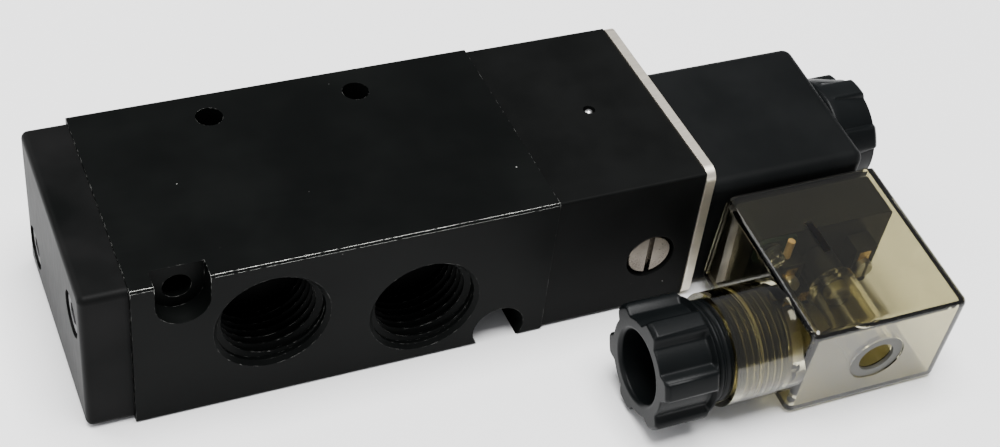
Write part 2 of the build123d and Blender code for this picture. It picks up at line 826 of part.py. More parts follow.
def plug_housing():
    x0, x1 = plug_x - plug_half_width, plug_x + plug_half_width
    z0, z1 = z_mid - plug_half_depth, z_mid + plug_half_depth
    shell = block(x0, x1, plug_front_y, plug_back_y, z0, z1)
    shell = fillet(shell.edges().filter_by(Axis.Y) + shell.faces().sort_by(Axis.Y)[0].edges(), plug_fillet)
    shell += round_x(collar_radius, x_collar, x0 + plug_wall, gland_axis())
    shell -= block(x0 + plug_wall, x1 - plug_wall, plug_front_y + plug_wall, plug_back_y,
                   z0 + plug_wall, z1 - plug_wall)
    shell -= round_x(collar_mouth, x_collar, x0 + plug_wall, gland_axis())
    shell -= round_x(collar_bore, x_collar, x_collar + collar_bore_depth, gland_axis())
    column_y = plug_back_y - column_end
    shell += round_y(column_radius, plug_front_y + ring_depth, column_y, plug_x, z_mid)
    shell -= round_y(ring_radius, plug_front_y, plug_front_y + ring_depth, plug_x, z_mid)
    shell -= round_y(column_bore, plug_front_y, column_y - column_floor, plug_x, z_mid)
    return shell - round_y(plug_screw_clearance, plug_front_y, plug_back_y, plug_x, z_mid)


def contact_outline(clear):
    """Half sizes of a contact's sleeve, or of the slot that takes it."""
    return (blade_width / 2 + contact_clear + contact_wall + clear,
            blade_thickness / 2 + contact_clear + contact_wall + clear)


def plug_insert():
    x0, x1 = plug_x - plug_half_width + plug_wall + insert_clear, plug_x + plug_half_width - plug_wall
    x1 -= insert_clear
    half = plug_half_depth - plug_wall - insert_clear
    back = plug_back_y - insert_back
    top = back - insert_base
    base = block(x0, x1, top, back, z_mid - half, z_mid + half)
    base = fillet(base.edges().filter_by(Axis.Y), insert_fillet)
    wide, thin = contact_outline(tower_wall)
    for x, z, turn in terminals:
        tower = block(-wide, wide, top - tower_height, top, -thin, thin)
        base += Pos(x, 0, z) * Rot(0, turn, 0) * tower
    base += round_y(insert_boss_radius, plug_back_y - column_end, top, plug_x, z_mid)
    wide, thin = contact_outline(contact_clear)
    for x, z, turn in terminals:
        slot = block(-wide, wide, top - tower_height, back, -thin, thin)
        base -= Pos(x, 0, z) * Rot(0, turn, 0) * slot
    return base - round_y(plug_screw_clearance, plug_back_y - column_end, back, plug_x, z_mid)


def contact_top():
    return plug_back_y - insert_back - insert_base - tower_height


def plug_contacts():
    contacts = []
    wide, thin = contact_outline(0)
    back = plug_back_y - insert_back
    top = contact_top()
    slot_wide, slot_thin = blade_width / 2 + contact_clear, blade_thickness / 2 + contact_clear
    socket_end = coil_front_y - blade_reach - blade_end_room
    for x, z, turn in terminals:
        sleeve = block(-wide, wide, top, back, -thin, thin)
        sleeve -= block(-slot_wide, slot_wide, socket_end, back, -slot_thin, slot_thin)
        sleeve -= round_y(clamp_screw_radius * clamp_thread_share, top, top + clamp_screw_length, 0, 0)
        contacts.append(Pos(x, 0, z) * Rot(0, turn, 0) * sleeve)
    return Compound(contacts)


def clamp_screws():
    screws = []
    top = contact_top()
    face = top - clamp_head_height
    core = clamp_screw_radius * clamp_thread_share
    for x, z, turn in terminals:
        screw = turned_y([(0, face), (clamp_head_radius - clamp_head_chamfer, face),
                          (clamp_head_radius, face + clamp_head_chamfer),
                          (clamp_head_radius, top), (core, top), (core, top + clamp_screw_length),
                          (0, top + clamp_screw_length)], 0, 0)
        screw -= block(-clamp_head_radius, clamp_head_radius, face, face + clamp_slot_depth,
                       -clamp_slot_half_width, clamp_slot_half_width)
        screws.append(Pos(x, 0, z) * Rot(0, turn, 0) * screw)
    return Compound(screws)


def plug_screw():
    seat = plug_back_y - column_end - column_floor
    face = seat - plug_screw_head_height
    end = coil_front_y + plug_screw_bite
    screw = turned_y([(0, face), (plug_screw_head - plug_screw_chamfer, face),
                      (plug_screw_head, face + plug_screw_chamfer),
                      (plug_screw_head, seat), (plug_screw_radius, seat), (plug_screw_radius, end),
                      (0, end)], plug_x, z_mid)
    return screw - block(plug_x - plug_screw_head, plug_x + plug_screw_head, face,
                         face + plug_slot_depth, z_mid - plug_slot_half_width, z_mid + plug_slot_half_width)


def board_corner():
    """The indicator board's low corner: beside the first terminal, on the insert."""
    x = plug_x - plug_half_width + plug_wall + insert_clear + board_side_gap
    z = z_mid + plug_half_depth - plug_wall - insert_clear - board_edge_gap - board_width
    return x, plug_back_y - insert_back - insert_base, z


def indicator_board():
    x, y, z = board_corner()
    board = block(x, x + board_length, y - board_thickness, y, z, z + board_width)
    return chamfer(board.edges().filter_by(Axis.Y), board_chamfer)


def indicator_led():
    x, y, z = board_corner()
    foot = y - board_thickness
    x, z = x + led_rim_radius + led_from_edge, z + board_width / 2
    led = round_y(led_rim_radius, foot, foot - led_rim_height, x, z)
    led += round_y(led_radius, foot, foot - led_height, x, z)
    return led + Pos(x, foot - led_height, z) * Sphere(led_radius)


def indicator_resistor():
    x, y, z = board_corner()
    x = x + board_length - resistor_from_end
    y = y - board_thickness - resistor_radius
    return round_z(resistor_radius, z + resistor_inset, z + resistor_length, x, y)


# --- Build ------------------------------------------------------------------------------------

def build():
    os.makedirs("parts", exist_ok=True)
    pieces = {
        "main_body": main_body(),
        "end_cap": end_cap(),
        "end_cap_gasket": ring_space(x_cap - gasket_thickness, x_cap),
        "end_cap_screws": end_cap_screws(),
        "spool": spool(),
        "spool_seals": spool_seals(),
        "pilot_piston": pilot_piston(),
        "piston_seal": piston_seal(),
        "return_spring": return_spring(),
        "pilot_body": pilot_body(),
        "pilot_gasket": pilot_ring_space(),
        "pilot_nozzle": pilot_nozzle(),
        "breather_ball": breather_ball(),
        "override_pin": override_pin(),
        "override_oring": override_oring(),
        "override_spring": override_spring(),
        "flange_plate": flange_plate(),
        "plate_screws": plate_screws(),
        "guide_tube": guide_tube(),
        "tube_oring": tube_ring(),
        "fixed_core": fixed_core(),
        "armature": armature(),
        "armature_seal": armature_seal(),
        "armature_spring": armature_spring(),
        "coil_washer": coil_washer(),
        "coil_nut": coil_nut(),
    }
    leaning_pieces = {
        "coil_body": coil_body(),
        "coil_yoke": yoke_frame() - coil_hole(x_coil, x_coil_out),
        "coil_bobbin": bobbin_shape(),
        "coil_winding": winding(),
        "coil_terminals": Compound([blade(*place) for place in terminals]),
        "plug_gasket": plug_gasket_sheet(),
        "plug_housing": plug_housing(),
        "plug_insert": plug_insert(),
        "plug_contacts": plug_contacts(),
        "clamp_screws": clamp_screws(),
        "plug_screw": plug_screw(),
        "indicator_board": indicator_board(),
        "indicator_led": indicator_led(),
        "indicator_resistor": indicator_resistor(),
        "gland_nut": gland_nut(),
        "gland_washer": gland_washer(),
        "gland_grommet": gland_grommet(),
    }
    for node, shape in pieces.items():
        save(shape, node)
    for node, shape in leaning_pieces.items():
        save(leaning(shape), node)


build()
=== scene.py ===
"""Looks for a solenoid directional valve: finishes, threads, grip nuts and the plug's detail."""

import json
import logging
import math
from dataclasses import dataclass
from enum import Enum
from typing import Sequence

import bmesh
import bpy
from mathutils import Matrix, Vector


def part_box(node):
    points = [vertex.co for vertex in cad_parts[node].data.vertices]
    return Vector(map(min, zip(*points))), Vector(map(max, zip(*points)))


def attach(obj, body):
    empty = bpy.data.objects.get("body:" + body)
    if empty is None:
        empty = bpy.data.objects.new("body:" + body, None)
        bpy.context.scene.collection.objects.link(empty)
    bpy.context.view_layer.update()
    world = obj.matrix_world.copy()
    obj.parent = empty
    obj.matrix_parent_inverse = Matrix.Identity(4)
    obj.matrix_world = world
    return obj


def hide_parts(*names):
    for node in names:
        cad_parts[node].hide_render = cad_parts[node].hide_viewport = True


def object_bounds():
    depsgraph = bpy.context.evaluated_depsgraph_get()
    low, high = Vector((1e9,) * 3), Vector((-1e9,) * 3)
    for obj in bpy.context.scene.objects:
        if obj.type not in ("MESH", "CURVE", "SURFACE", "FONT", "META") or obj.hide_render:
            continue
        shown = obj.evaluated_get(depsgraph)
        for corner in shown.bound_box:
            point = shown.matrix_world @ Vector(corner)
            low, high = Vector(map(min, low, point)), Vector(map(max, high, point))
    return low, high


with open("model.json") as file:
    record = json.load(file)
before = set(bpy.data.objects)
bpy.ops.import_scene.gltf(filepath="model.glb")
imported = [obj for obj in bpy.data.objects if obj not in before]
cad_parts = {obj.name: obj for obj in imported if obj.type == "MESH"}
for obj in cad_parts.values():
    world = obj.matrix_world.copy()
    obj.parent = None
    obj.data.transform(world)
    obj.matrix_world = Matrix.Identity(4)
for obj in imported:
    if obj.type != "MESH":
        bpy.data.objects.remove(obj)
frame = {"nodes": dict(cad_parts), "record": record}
CAD_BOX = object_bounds()
MM = 0.001
LOG = logging.getLogger("valve")
Colour = tuple[float, float, float, float]


class Axis(Enum):
    """A direction that a turned or threaded piece is built along."""

    PLUS_X = (1.0, 0.0, 0.0)
    MINUS_Y = (0.0, -1.0, 0.0)
    PLUS_Y = (0.0, 1.0, 0.0)

    def placed(self, origin: Vector) -> Matrix:
        """The transform that takes local +Z to this direction, from origin."""
        turn = Vector((0.0, 0.0, 1.0)).rotation_difference(Vector(self.value))
        return Matrix.Translation(origin) @ turn.to_matrix().to_4x4()


# --- Shader maths --------------------------------------------------------------------------
class Value:
    """A shader output that plain arithmetic can be written on."""

    def __init__(self, net: "Net", socket: bpy.types.NodeSocket) -> None:
        """Wrap one output socket of a net."""
        self.net = net
        self.socket = socket

    def _math(self, operation: str, first: object, second: object) -> "Value":
        """Add one Math node, and return what comes out of it."""
        made = self.net.node("Math", {"operation": operation}, {0: first, 1: second})
        return self.net.out(made, 0)

    def __add__(self, other: object) -> "Value":
        """self + other."""
        return self._math("ADD", self, other)

    __radd__ = __add__

    def __sub__(self, other: object) -> "Value":
        """self - other."""
        return self._math("SUBTRACT", self, other)

    def __rsub__(self, other: object) -> "Value":
        """other - self."""
        return self._math("SUBTRACT", other, self)

    def __mul__(self, other: object) -> "Value":
        """self * other."""
        return self._math("MULTIPLY", self, other)

    __rmul__ = __mul__

    def step(self, low: float, high: float) -> "Value":
        """Turn this value into a smooth step.

        Args:
            low: where the step is still 0.
            high: where it has reached 1; it may lie under low.

        Returns:
            The step, from 0 to 1.
        """
        made = self.net.node("MapRange", {"interpolation_type": "SMOOTHSTEP"},
                             {0: self, 1: low, 2: high})
        return self.net.out(made, 0)


class Net:
    """One material's node tree."""

    FACTOR, FIRST, SECOND, RESULT = 0, 6, 7, 2     # the colour sockets of a Mix node

    def __init__(self, name: str) -> None:
        """Start an empty material."""
        self.material = bpy.data.materials.new(name)
        self.material.use_nodes = True
        self.tree = self.material.node_tree
        self.tree.nodes.clear()

    def node(self, kind: str, settings: dict | None = None,
             inputs: dict | None = None) -> bpy.types.Node:
        """Add a node.

        Args:
            kind: the node's type, without ShaderNode in front.
            settings: attributes, set before the inputs.
            inputs: socket name or number to a Value or a constant.

        Returns:
            The new node.
        """
        made = self.tree.nodes.new("ShaderNode" + kind)
        for key, value in (settings or {}).items():
            setattr(made, key, value)
        for key, value in (inputs or {}).items():
            if isinstance(value, Value):
                self.tree.links.new(value.socket, made.inputs[key])
            else:
                made.inputs[key].default_value = value
        return made

    def out(self, made: bpy.types.Node, key: int | str) -> Value:
        """One output of a node."""
        return Value(self, made.outputs[key])

    def place(self) -> Value:
        """Object coordinates, in metres."""
        return self.out(self.node("TexCoord"), "Object")

    def noise(self, scale: tuple[float, float, float], detail: float = 3.0) -> Value:
        """Noise with its own scale along each axis, per metre.

        Args:
            scale: features per metre along X, Y and Z.
            detail: octaves.

        Returns:
            A value about 0.5.
        """
        moved = self.node("Mapping", {}, {"Vector": self.place(), "Scale": scale})
        made = self.node("TexNoise", {}, {"Vector": self.out(moved, 0), "Scale": 1.0,
                                          "Detail": detail})
        return self.out(made, 0)

    def mix(self, factor: Value, first: object, second: object) -> Value:
        """Mix two colours.

        Args:
            factor: 0 for the first colour, 1 for the second.
            first: a colour, or a Value.
            second: the other one.

        Returns:
            The mixed colour.
        """
        made = self.node("Mix", {"data_type": "RGBA"},
                         {self.FACTOR: factor, self.FIRST: first, self.SECOND: second})
        return self.out(made, self.RESULT)

    def edge(self, radius: float) -> tuple[Value, Value]:
        """Rounded edges.

        Args:
            radius: the rounding, in metres.

        Returns:
            The rounded normal, and how far a point's normal was turned.
        """
        rounded = self.out(self.node("Bevel", {"samples": 4}, {"Radius": radius}), 0)
        plain = self.out(self.node("NewGeometry"), "Normal")
        dot = self.node("VectorMath", {"operation": "DOT_PRODUCT"}, {0: rounded, 1: plain})
        return rounded, 1.0 - self.out(dot, "Value")

    def bump(self, height: Value, distance: float, normal: Value | None = None) -> Value:
        """Bump the surface.

        Args:
            height: the height, from 0 to 1.
            distance: what a height of 1 stands for, in metres.
            normal: the normal to start from, if it isn't the mesh's own.

        Returns:
            The bumped normal.
        """
        inputs = {"Height": height, "Distance": distance, "Strength": 1.0}
        if normal is not None:
            inputs["Normal"] = normal
        return self.out(self.node("Bump", {}, inputs), 0)

    def surface(self, inputs: dict) -> bpy.types.Material:
        """Close the net with a Principled shader and return the material."""
        shader = self.node("BsdfPrincipled", {}, inputs)
        self.node("OutputMaterial", {}, {"Surface": self.out(shader, 0)})
        return self.material


# --- Finishes --------------------------------------------------------------------------------
@dataclass(frozen=True)
class Anodised:
    """Black anodised aluminium: brushed along X, rubbed to bare metal on its edges, with a bright
    line along the front top edge that is part wear and part painted highlight.
    """

    name: str
    colour: Colour = (0.0016, 0.0019, 0.0018, 1.0)
    faded: Colour = (0.0030, 0.0034, 0.0032, 1.0)
    # the colour of bare metal on worn edges, also used for the painted highlight on the front top
    # edge
    bare_and_highlight: Colour = (0.60, 0.60, 0.57, 1.0)
    roughness: float = 0.42
    specular: float = 0.04
    edge_radius: float = 0.12 * MM
    grain: tuple[float, float, float] = (90.0, 5200.0, 5200.0)
    grain_depth: float = 0.004 * MM
    cloud_per_m: float = 45.0
    chips_per_m: float = 900.0
    wear_highlight_turn: tuple[float, float] = (0.02, 0.10)      # how far an edge turns before it shows bare metal and the painted highlight
    highlight_wear_depth: tuple[float, float] = (1.6 * MM, 1.1 * MM)      # the front top edge's painted highlight and wear, in from the front face
    highlight_wear_drop: tuple[float, float] = (1.7 * MM, 1.1 * MM)       # the front top edge's painted highlight and wear, down from the top face
    end_sheen: float = 0.0             # the satin coat on the cap's end face
    sheen_depth: tuple[float, float] = (0.85 * MM, 0.15 * MM)  # in from that face
    sheen_roughness: float = 0.38

    def make(self) -> bpy.types.Material:
        """Build the material.

        Returns:
            The material.
        """
        net = Net(self.name)
        brushed = net.noise(self.grain)
        cloud = net.noise((self.cloud_per_m,) * 3)
        chip = net.noise((self.chips_per_m,) * 3, 5.0)
        speck = net.noise((self.chips_per_m,) * 3, 0.0).step(0.93, 0.95)
        rounded, turned = net.edge(self.edge_radius)
        place = net.node("SeparateXYZ", {}, {0: net.place()})
        front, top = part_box("main_body")[0].y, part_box("main_body")[1].z
        # Painted highlight: a ragged bright line along the front top edge, part wear and part the
        # light that rounded edge catches
        front_edge_glint_and_wear = (net.out(place, "Y").step(*(front + depth for depth in self.highlight_wear_depth))
                      * net.out(place, "Z").step(*(top - drop for drop in self.highlight_wear_drop)))
        ragged_wear_highlight = chip.step(0.50, 0.66) * 0.35 + front_edge_glint_and_wear * chip.step(0.34, 0.46) * 0.9
        # edge wear and chips, together with the painted highlight on the front top edge
        wear_and_highlight = turned.step(*self.wear_highlight_turn) * ragged_wear_highlight + speck * 0.5
        end_face = net.out(place, "X").step(*(CAD_BOX[0].x + depth for depth in self.sheen_depth))
        base = net.mix(cloud.step(0.3, 0.7), self.colour, self.faded)
        return net.surface({
            "Base Color": net.mix(wear_and_highlight, base, self.bare_and_highlight),
            "Metallic": wear_and_highlight * 0.9,
            "Roughness": brushed * 0.16 + cloud * 0.10 + (self.roughness - 0.13),
            "Specular IOR Level": self.specular,
            "Coat Weight": end_face * (cloud * 0.5 + 0.6) * self.end_sheen,
            "Coat Roughness": self.sheen_roughness,
            "Normal": net.bump(brushed, self.grain_depth, rounded),
        })


@dataclass(frozen=True)
class Moulded:
    """Moulded plastic or rubber: fine grain, slight cloudiness and polished edges."""

    name: str
    colour: Colour
    roughness: float = 0.5
    specular: float = 0.35
    grain_per_m: float = 2600.0
    grain_depth: float = 0.012 * MM
    edge_radius: float = 0.25 * MM
    polished_turn: tuple[float, float] = (0.02, 0.2)    # how far an edge turns as it polishes
    cloud_per_m: float = 60.0
    specks: float = 0.0
    specks_per_m: float = 800.0
    speck: Colour = (0.35, 0.35, 0.33, 1.0)

    def make(self) -> bpy.types.Material:
        """Build the material.

        Returns:
            The material.
        """
        net = Net(self.name)
        grain = net.noise((self.grain_per_m,) * 3, 4.0)
        cloud = net.noise((self.cloud_per_m,) * 3)
        rounded, turned = net.edge(self.edge_radius)
        polished = turned.step(*self.polished_turn)
        lighter = tuple(min(1.0, c * 1.5 + 0.002) for c in self.colour[:3]) + (1.0,)
        base = net.mix(cloud.step(0.3, 0.7) * 0.6 + polished * 0.4, self.colour, lighter)
        if self.specks:
            dot = net.noise((self.specks_per_m,) * 3, 0.0).step(0.91, 0.93)
            base = net.mix(dot * self.specks, base, self.speck)
        return net.surface({
            "Base Color": base,
            "Roughness": grain * 0.14 + cloud * 0.08 - polished * 0.12 + (self.roughness - 0.10),
            "Specular IOR Level": self.specular,
            "Normal": net.bump(grain, self.grain_depth, rounded),
        })


@dataclass(frozen=True)
class Metal:
    """A plated, turned or drawn metal with tarnish and fine tool marks."""

    name: str
    colour: Colour
    tarnish: Colour
    roughness: float = 0.3
    grain: tuple[float, float, float] = (2500.0, 2500.0, 2500.0)
    depth: float = 0.004 * MM
    edge_radius: float = 0.12 * MM
    clouds_per_m: float = 160.0

    def make(self) -> bpy.types.Material:
        """Build the material.

        Returns:
            The material.
        """
        net = Net(self.name)
        marks = net.noise(self.grain)
        cloud = net.noise((self.clouds_per_m,) * 3, 4.0)
        rounded, turned = net.edge(self.edge_radius)
        base = net.mix(cloud.step(0.35, 0.75) * (1.0 - turned.step(0.02, 0.2)),
                       self.colour, self.tarnish)
        return net.surface({
            "Base Color": base,
            "Metallic": 1.0,
            "Roughness": marks * 0.14 + cloud * 0.14 + (self.roughness - 0.12),
            "Normal": net.bump(marks, self.depth, rounded),
        })


@dataclass(frozen=True)
class Clear:
    """Clear or smoky moulding, with faint flow marks in its gloss."""

    name: str
    colour: Colour
    roughness: float = 0.04
    ior: float = 1.49
    flow: tuple[float, float, float] = (220.0, 90.0, 220.0)
    scuffs: tuple[float, float, float] = (2200.0, 500.0, 2200.0)
    flow_depth: float = 0.01 * MM

    def make(self) -> bpy.types.Material:
        """Build the material.

        Returns:
            The material.
        """
        net = Net(self.name)
        flow = net.noise(self.flow, 2.0)
        scuff = net.noise(self.scuffs, 4.0)
        deeper = tuple(c * 0.9 for c in self.colour[:3]) + (1.0,)
        return net.surface({
            "Base Color": net.mix(flow, self.colour, deeper),
            "Roughness": scuff.step(0.55, 0.75) * 0.08 + self.roughness,
            "IOR": self.ior,
            "Transmission Weight": 1.0,
            "Normal": net.bump(flow, self.flow_depth),
        })


class Finish(Enum):
    """Every finish on the valve."""

    ANODISED = Anodised("black_anodised")
    # the cap carries the same painted highlight along its front top edge, as bare-metal colour
    CAP = Anodised("black_cap", faded=(0.006, 0.006, 0.006, 1.0), roughness=0.46,
                   grain=(2600.0, 2600.0, 260.0), end_sheen=0.04)
    PILOT = Moulded("pilot_plastic", (0.0020, 0.0022, 0.0021, 1.0), 0.5, 0.04, specks=0.8)
    COIL = Moulded("coil_plastic", (0.0026, 0.0030, 0.0031, 1.0), 0.52, 0.05, specks=0.25)
    NUT = Moulded("nut_plastic", (0.0022, 0.0028, 0.0030, 1.0), 0.36, 0.10)
    INSERT = Moulded("insert_plastic", (0.0070, 0.0075, 0.0070, 1.0), 0.42, 0.12)
    RING = Moulded("hole_ring_rubber", (0.062, 0.061, 0.054, 1.0), 0.5, 0.3)
    WHITE = Moulded("white_plastic", (0.62, 0.60, 0.54, 1.0), 0.45)
    RUBBER = Moulded("seal_rubber", (0.004, 0.004, 0.004, 1.0), 0.62, 0.1)
    BOARD = Moulded("circuit_board", (0.006, 0.02, 0.010, 1.0), 0.4, 0.2)
    RESISTOR = Moulded("resistor_lacquer", (0.52, 0.36, 0.2, 1.0), 0.3)
    BLACK_STEEL = Metal("black_oxide", (0.05, 0.05, 0.052, 1.0), (0.02, 0.02, 0.02, 1.0), 0.38)
    ZINC = Metal("zinc_steel", (0.62, 0.61, 0.58, 1.0), (0.42, 0.41, 0.38, 1.0))
    SPRING = Metal("spring_steel", (0.55, 0.55, 0.55, 1.0), (0.36, 0.36, 0.35, 1.0), 0.25)
    PLATE = Metal("satin_plate", (0.86, 0.80, 0.68, 1.0), (0.66, 0.61, 0.52, 1.0), 0.40,
                  grain=(300.0, 3800.0, 300.0))
    TUBE = Metal("stainless_tube", (0.6, 0.59, 0.57, 1.0), (0.5, 0.48, 0.46, 1.0), 0.28,
                 grain=(5200.0, 300.0, 300.0))
    PIN = Metal("nickel_pin", (0.18, 0.16, 0.135, 1.0), (0.11, 0.095, 0.08, 1.0), 0.24)
    TURNED = Metal("turned_aluminium", (0.72, 0.72, 0.72, 1.0), (0.6, 0.6, 0.6, 1.0), 0.25,
                   grain=(5200.0, 200.0, 200.0))
    BRASS = Metal("brass", (0.72, 0.52, 0.22, 1.0), (0.5, 0.34, 0.14, 1.0), 0.25)
    GILT = Metal("gilt_strip", (0.95, 0.70, 0.30, 1.0), (0.80, 0.55, 0.22, 1.0), 0.42)
    COPPER = Metal("enamelled_wire", (0.62, 0.27, 0.11, 1.0), (0.42, 0.16, 0.07, 1.0), 0.3,
                   grain=(3300.0, 60.0, 60.0), depth=0.06 * MM)
    SMOKED = Clear("smoky_clear", (0.64, 0.605, 0.43, 1.0))
    LED = Clear("led_resin", (0.93, 0.96, 0.96, 1.0), 0.03, 1.54)


class Dresser:
    """Makes each finish once and puts it on pieces."""

    def __init__(self) -> None:
        """Start with nothing made."""
        self.made: dict[Finish, bpy.types.Material] = {}

    def material(self, finish: Finish) -> bpy.types.Material:
        """The material of a finish."""
        if finish not in self.made:
            self.made[finish] = finish.value.make()
        return self.made[finish]

    def nodes(self, finish: Finish, *names: str) -> None:
        """Put a finish on carried-over nodes.

        Args:
            finish: the finish.
            names: the nodes' names.
        """
        for name in names:
            node = frame["nodes"][name]
            if not node.material_slots:
                node.data.materials.append(None)
            for place in node.material_slots:
                place.material = self.material(finish)
            LOG.info("dressed %s with %s", name, finish.name)

    def piece(self, piece: bpy.types.Object, finish: Finish, body: str, slot: str) -> None:
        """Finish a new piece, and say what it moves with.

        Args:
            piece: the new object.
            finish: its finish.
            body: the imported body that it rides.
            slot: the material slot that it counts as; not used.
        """
        piece.data.materials.clear()
        piece.data.materials.append(self.material(finish))
        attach(piece, body)
        LOG.info("made %s on %s", piece.name, body)


# --- Mesh helpers ----------------------------------------------------------------------------
SMOOTH_BELOW = math.radians(35.0)      # an edge that turns less is shaded smooth


def to_object(name: str, work: bmesh.types.BMesh) -> bpy.types.Object:
    """Turn a bmesh into an object at the origin.

    Args:
        name: the piece's name.
        work: the mesh, which is freed.

    Returns:
        The linked object.
    """
    mesh = bpy.data.meshes.new(name)
    work.to_mesh(mesh)
    work.free()
    mesh.shade_smooth()
    mesh.set_sharp_from_angle(angle=SMOOTH_BELOW)
    made = bpy.data.objects.new(name, mesh)
    bpy.context.scene.collection.objects.link(made)
    return made


def turned_ring(section: Sequence[tuple[float, float]], steps: int) -> bmesh.types.BMesh:
    """Turn a closed section once round local Z.

    Args:
        section: radius and height of each corner, in order.
        steps: how many steps make the full turn.

    Returns:
        The ring's mesh.
    """
    work = bmesh.new()
    verts = [work.verts.new((radius, 0.0, height)) for radius, height in section]
    edges = [work.edges.new((verts[i - 1], verts[i])) for i in range(len(verts))]
    bmesh.ops.spin(work, geom=verts + edges, cent=(0.0, 0.0, 0.0), axis=(0.0, 0.0, 1.0),
                   angle=2 * math.pi, steps=steps, use_merge=True, use_duplicate=False)
    return work


@dataclass(frozen=True)
class Thread:
    """A right-handed helical ridge, with its root a little under the wall it stands on."""

    name: str
    start: Vector
    axis: Axis
    root: float
    crest: float
    pitch: float
    length: float
    steps_per_turn: int = 48
    sunk: float = 0.02 * MM
    fade_turns: float = 0.4
    least: float = 0.06            # of the ridge's height, at its very ends
    foot_share: float = 0.46       # half of the foot's width, as a share of the pitch
    tip_share: float = 0.07        # and half of the crest's

    def foot_radius(self) -> float:
        """Where the ridge's foot lies: a little under the wall."""
        return self.root + (self.sunk if self.crest < self.root else -self.sunk)

    def fade_ends(self, work: bmesh.types.BMesh, turns: float, foot: float) -> None:
        """Run the ridge out to nothing over its first and last part of a turn.

        Args:
            work: the swept ridge, still about local Z.
            turns: how many turns it makes.
            foot: half of its width at the foot.
        """
        root = self.foot_radius()
        for vert in work.verts:
            angle = math.atan2(vert.co.y, vert.co.x) / (2 * math.pi)
            done = angle + round((vert.co.z - foot) / self.pitch - angle)
            share = max(self.least, min(1.0, done / self.fade_turns,
                                        (turns - done) / self.fade_turns))
            middle = foot + done * self.pitch
            radius = math.hypot(vert.co.x, vert.co.y)
            grown = (root + (radius - root) * share) / radius
            vert.co = Vector((vert.co.x * grown, vert.co.y * grown,
                              middle + (vert.co.z - middle) * share))

    def build(self) -> bpy.types.Object:
        """Sweep the ridge's section along its helix.

        Returns:
            The thread.
        """
        work = bmesh.new()
        root = self.foot_radius()
        foot, tip = self.pitch * self.foot_share, self.pitch * self.tip_share
        section = ((root, -foot), (self.crest, -tip), (self.crest, tip), (root, foot))
        verts = [work.verts.new((radius, 0.0, foot + rise)) for radius, rise in section]
        edges = [work.edges.new((verts[i], verts[i - 1])) for i in range(len(verts))]
        bmesh.ops.contextual_create(work, geom=edges)
        turns = (self.length - 2 * foot) / self.pitch
        steps = max(8, round(turns * self.steps_per_turn))
        last = bmesh.ops.spin(
            work, geom=verts + edges, cent=(0.0, 0.0, 0.0), axis=(0.0, 0.0, 1.0),
            dvec=(0.0, 0.0, turns * self.pitch / steps), angle=turns * 2 * math.pi,
            steps=steps, use_duplicate=False)["geom_last"]
        bmesh.ops.contextual_create(
            work, geom=[item for item in last if isinstance(item, bmesh.types.BMEdge)])
        self.fade_ends(work, turns, foot)
        bmesh.ops.recalc_face_normals(work, faces=work.faces)
        bmesh.ops.transform(work, matrix=self.axis.placed(self.start), verts=work.verts)
        return to_object(self.name, work)


@dataclass(frozen=True)
class GripNut:
    """A turned nut with flutes pressed into its rim, open at one end or at both."""

    name: str
    stands_for: str
    centre: Vector                              # a point on the axis, which lies along X
    section: Sequence[tuple[float, float]]      # distance along X and radius, in order
    fluted: tuple[float, float]                 # where the flutes start and end along X
    floor_radius: float
    lobe_share: float                           # of each sixth that stays at full height
    wall_share: float                           # of each sixth that slopes
    turned: float = 0.0                         # degrees from +Y to the middle of a lobe
    lobes: int = 6
    samples: int = 30                           # round each lobe
    rounding: float = 0.3 * MM
    rounds_over: float = 40.0                   # degrees that an edge turns
    merge_within: float = 0.001 * MM

    def press(self, vert: bmesh.types.BMVert) -> None:
        """Move one vertex of the rim in, if it lies in a flute.

        Args:
            vert: the vertex, while the nut still stands about local Z.
        """
        radius = math.hypot(vert.co.x, vert.co.y)
        along = vert.co.z
        if radius <= self.floor_radius or not self.fluted[0] <= along <= self.fluted[1]:
            return
        phase = math.atan2(vert.co.y, vert.co.x) * self.lobes / (2 * math.pi)
        away = abs(phase - round(phase)) * 2
        sloped = min(1.0, max(0.0, (away - self.lobe_share) / self.wall_share))
        eased = sloped * sloped * (3 - 2 * sloped)
        factor = (radius + (self.floor_radius - radius) * eased) / radius
        vert.co.x *= factor
        vert.co.y *= factor

    def build(self) -> bpy.types.Object:
        """Turn the section, press the flutes and round the edges.

        Returns:
            The nut.
        """
        work = turned_ring([(radius, along) for along, radius in self.section],
                           self.lobes * self.samples)
        bmesh.ops.remove_doubles(work, verts=work.verts, dist=self.merge_within)
        for vert in work.verts:
            self.press(vert)
        bmesh.ops.recalc_face_normals(work, faces=work.faces)
        z_to_x = Matrix(((0, 0, 1, 0), (1, 0, 0, 0), (0, 1, 0, 0), (0, 0, 0, 1)))
        stand = Matrix.Translation((0.0, self.centre.y, self.centre.z))
        turn = Matrix.Rotation(math.radians(self.turned), 4, "X")
        bmesh.ops.transform(work, matrix=stand @ turn @ z_to_x, verts=work.verts)
        piece = to_object(self.name, work)
        edge = piece.modifiers.new("rounded edges", "BEVEL")
        edge.width = self.rounding
        edge.segments = 2
        edge.limit_method = "ANGLE"
        edge.angle_limit = math.radians(self.rounds_over)
        edge.harden_normals = True
        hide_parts(self.stands_for)
        return piece


def mount(name: str) -> dict:
    """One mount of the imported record."""
    return next(m for m in frame["record"]["mounts"] if m["name"] == name)


# --- Sub-assemblies --------------------------------------------------------------------------
@dataclass(frozen=True)
class Strip:
    """The sizes of the indicator's bent contact strip."""

    width: float = 1.5 * MM
    thickness: float = 0.2 * MM
    reach: float = 9.0 * MM
    rise: float = 0.9 * MM
    lift: float = 0.1 * MM
    forward: float = 1.0 * MM       # of the board's front edge
    gap: float = 3.4 * MM           # from the board's side to the strip's middle
    steps: int = 14


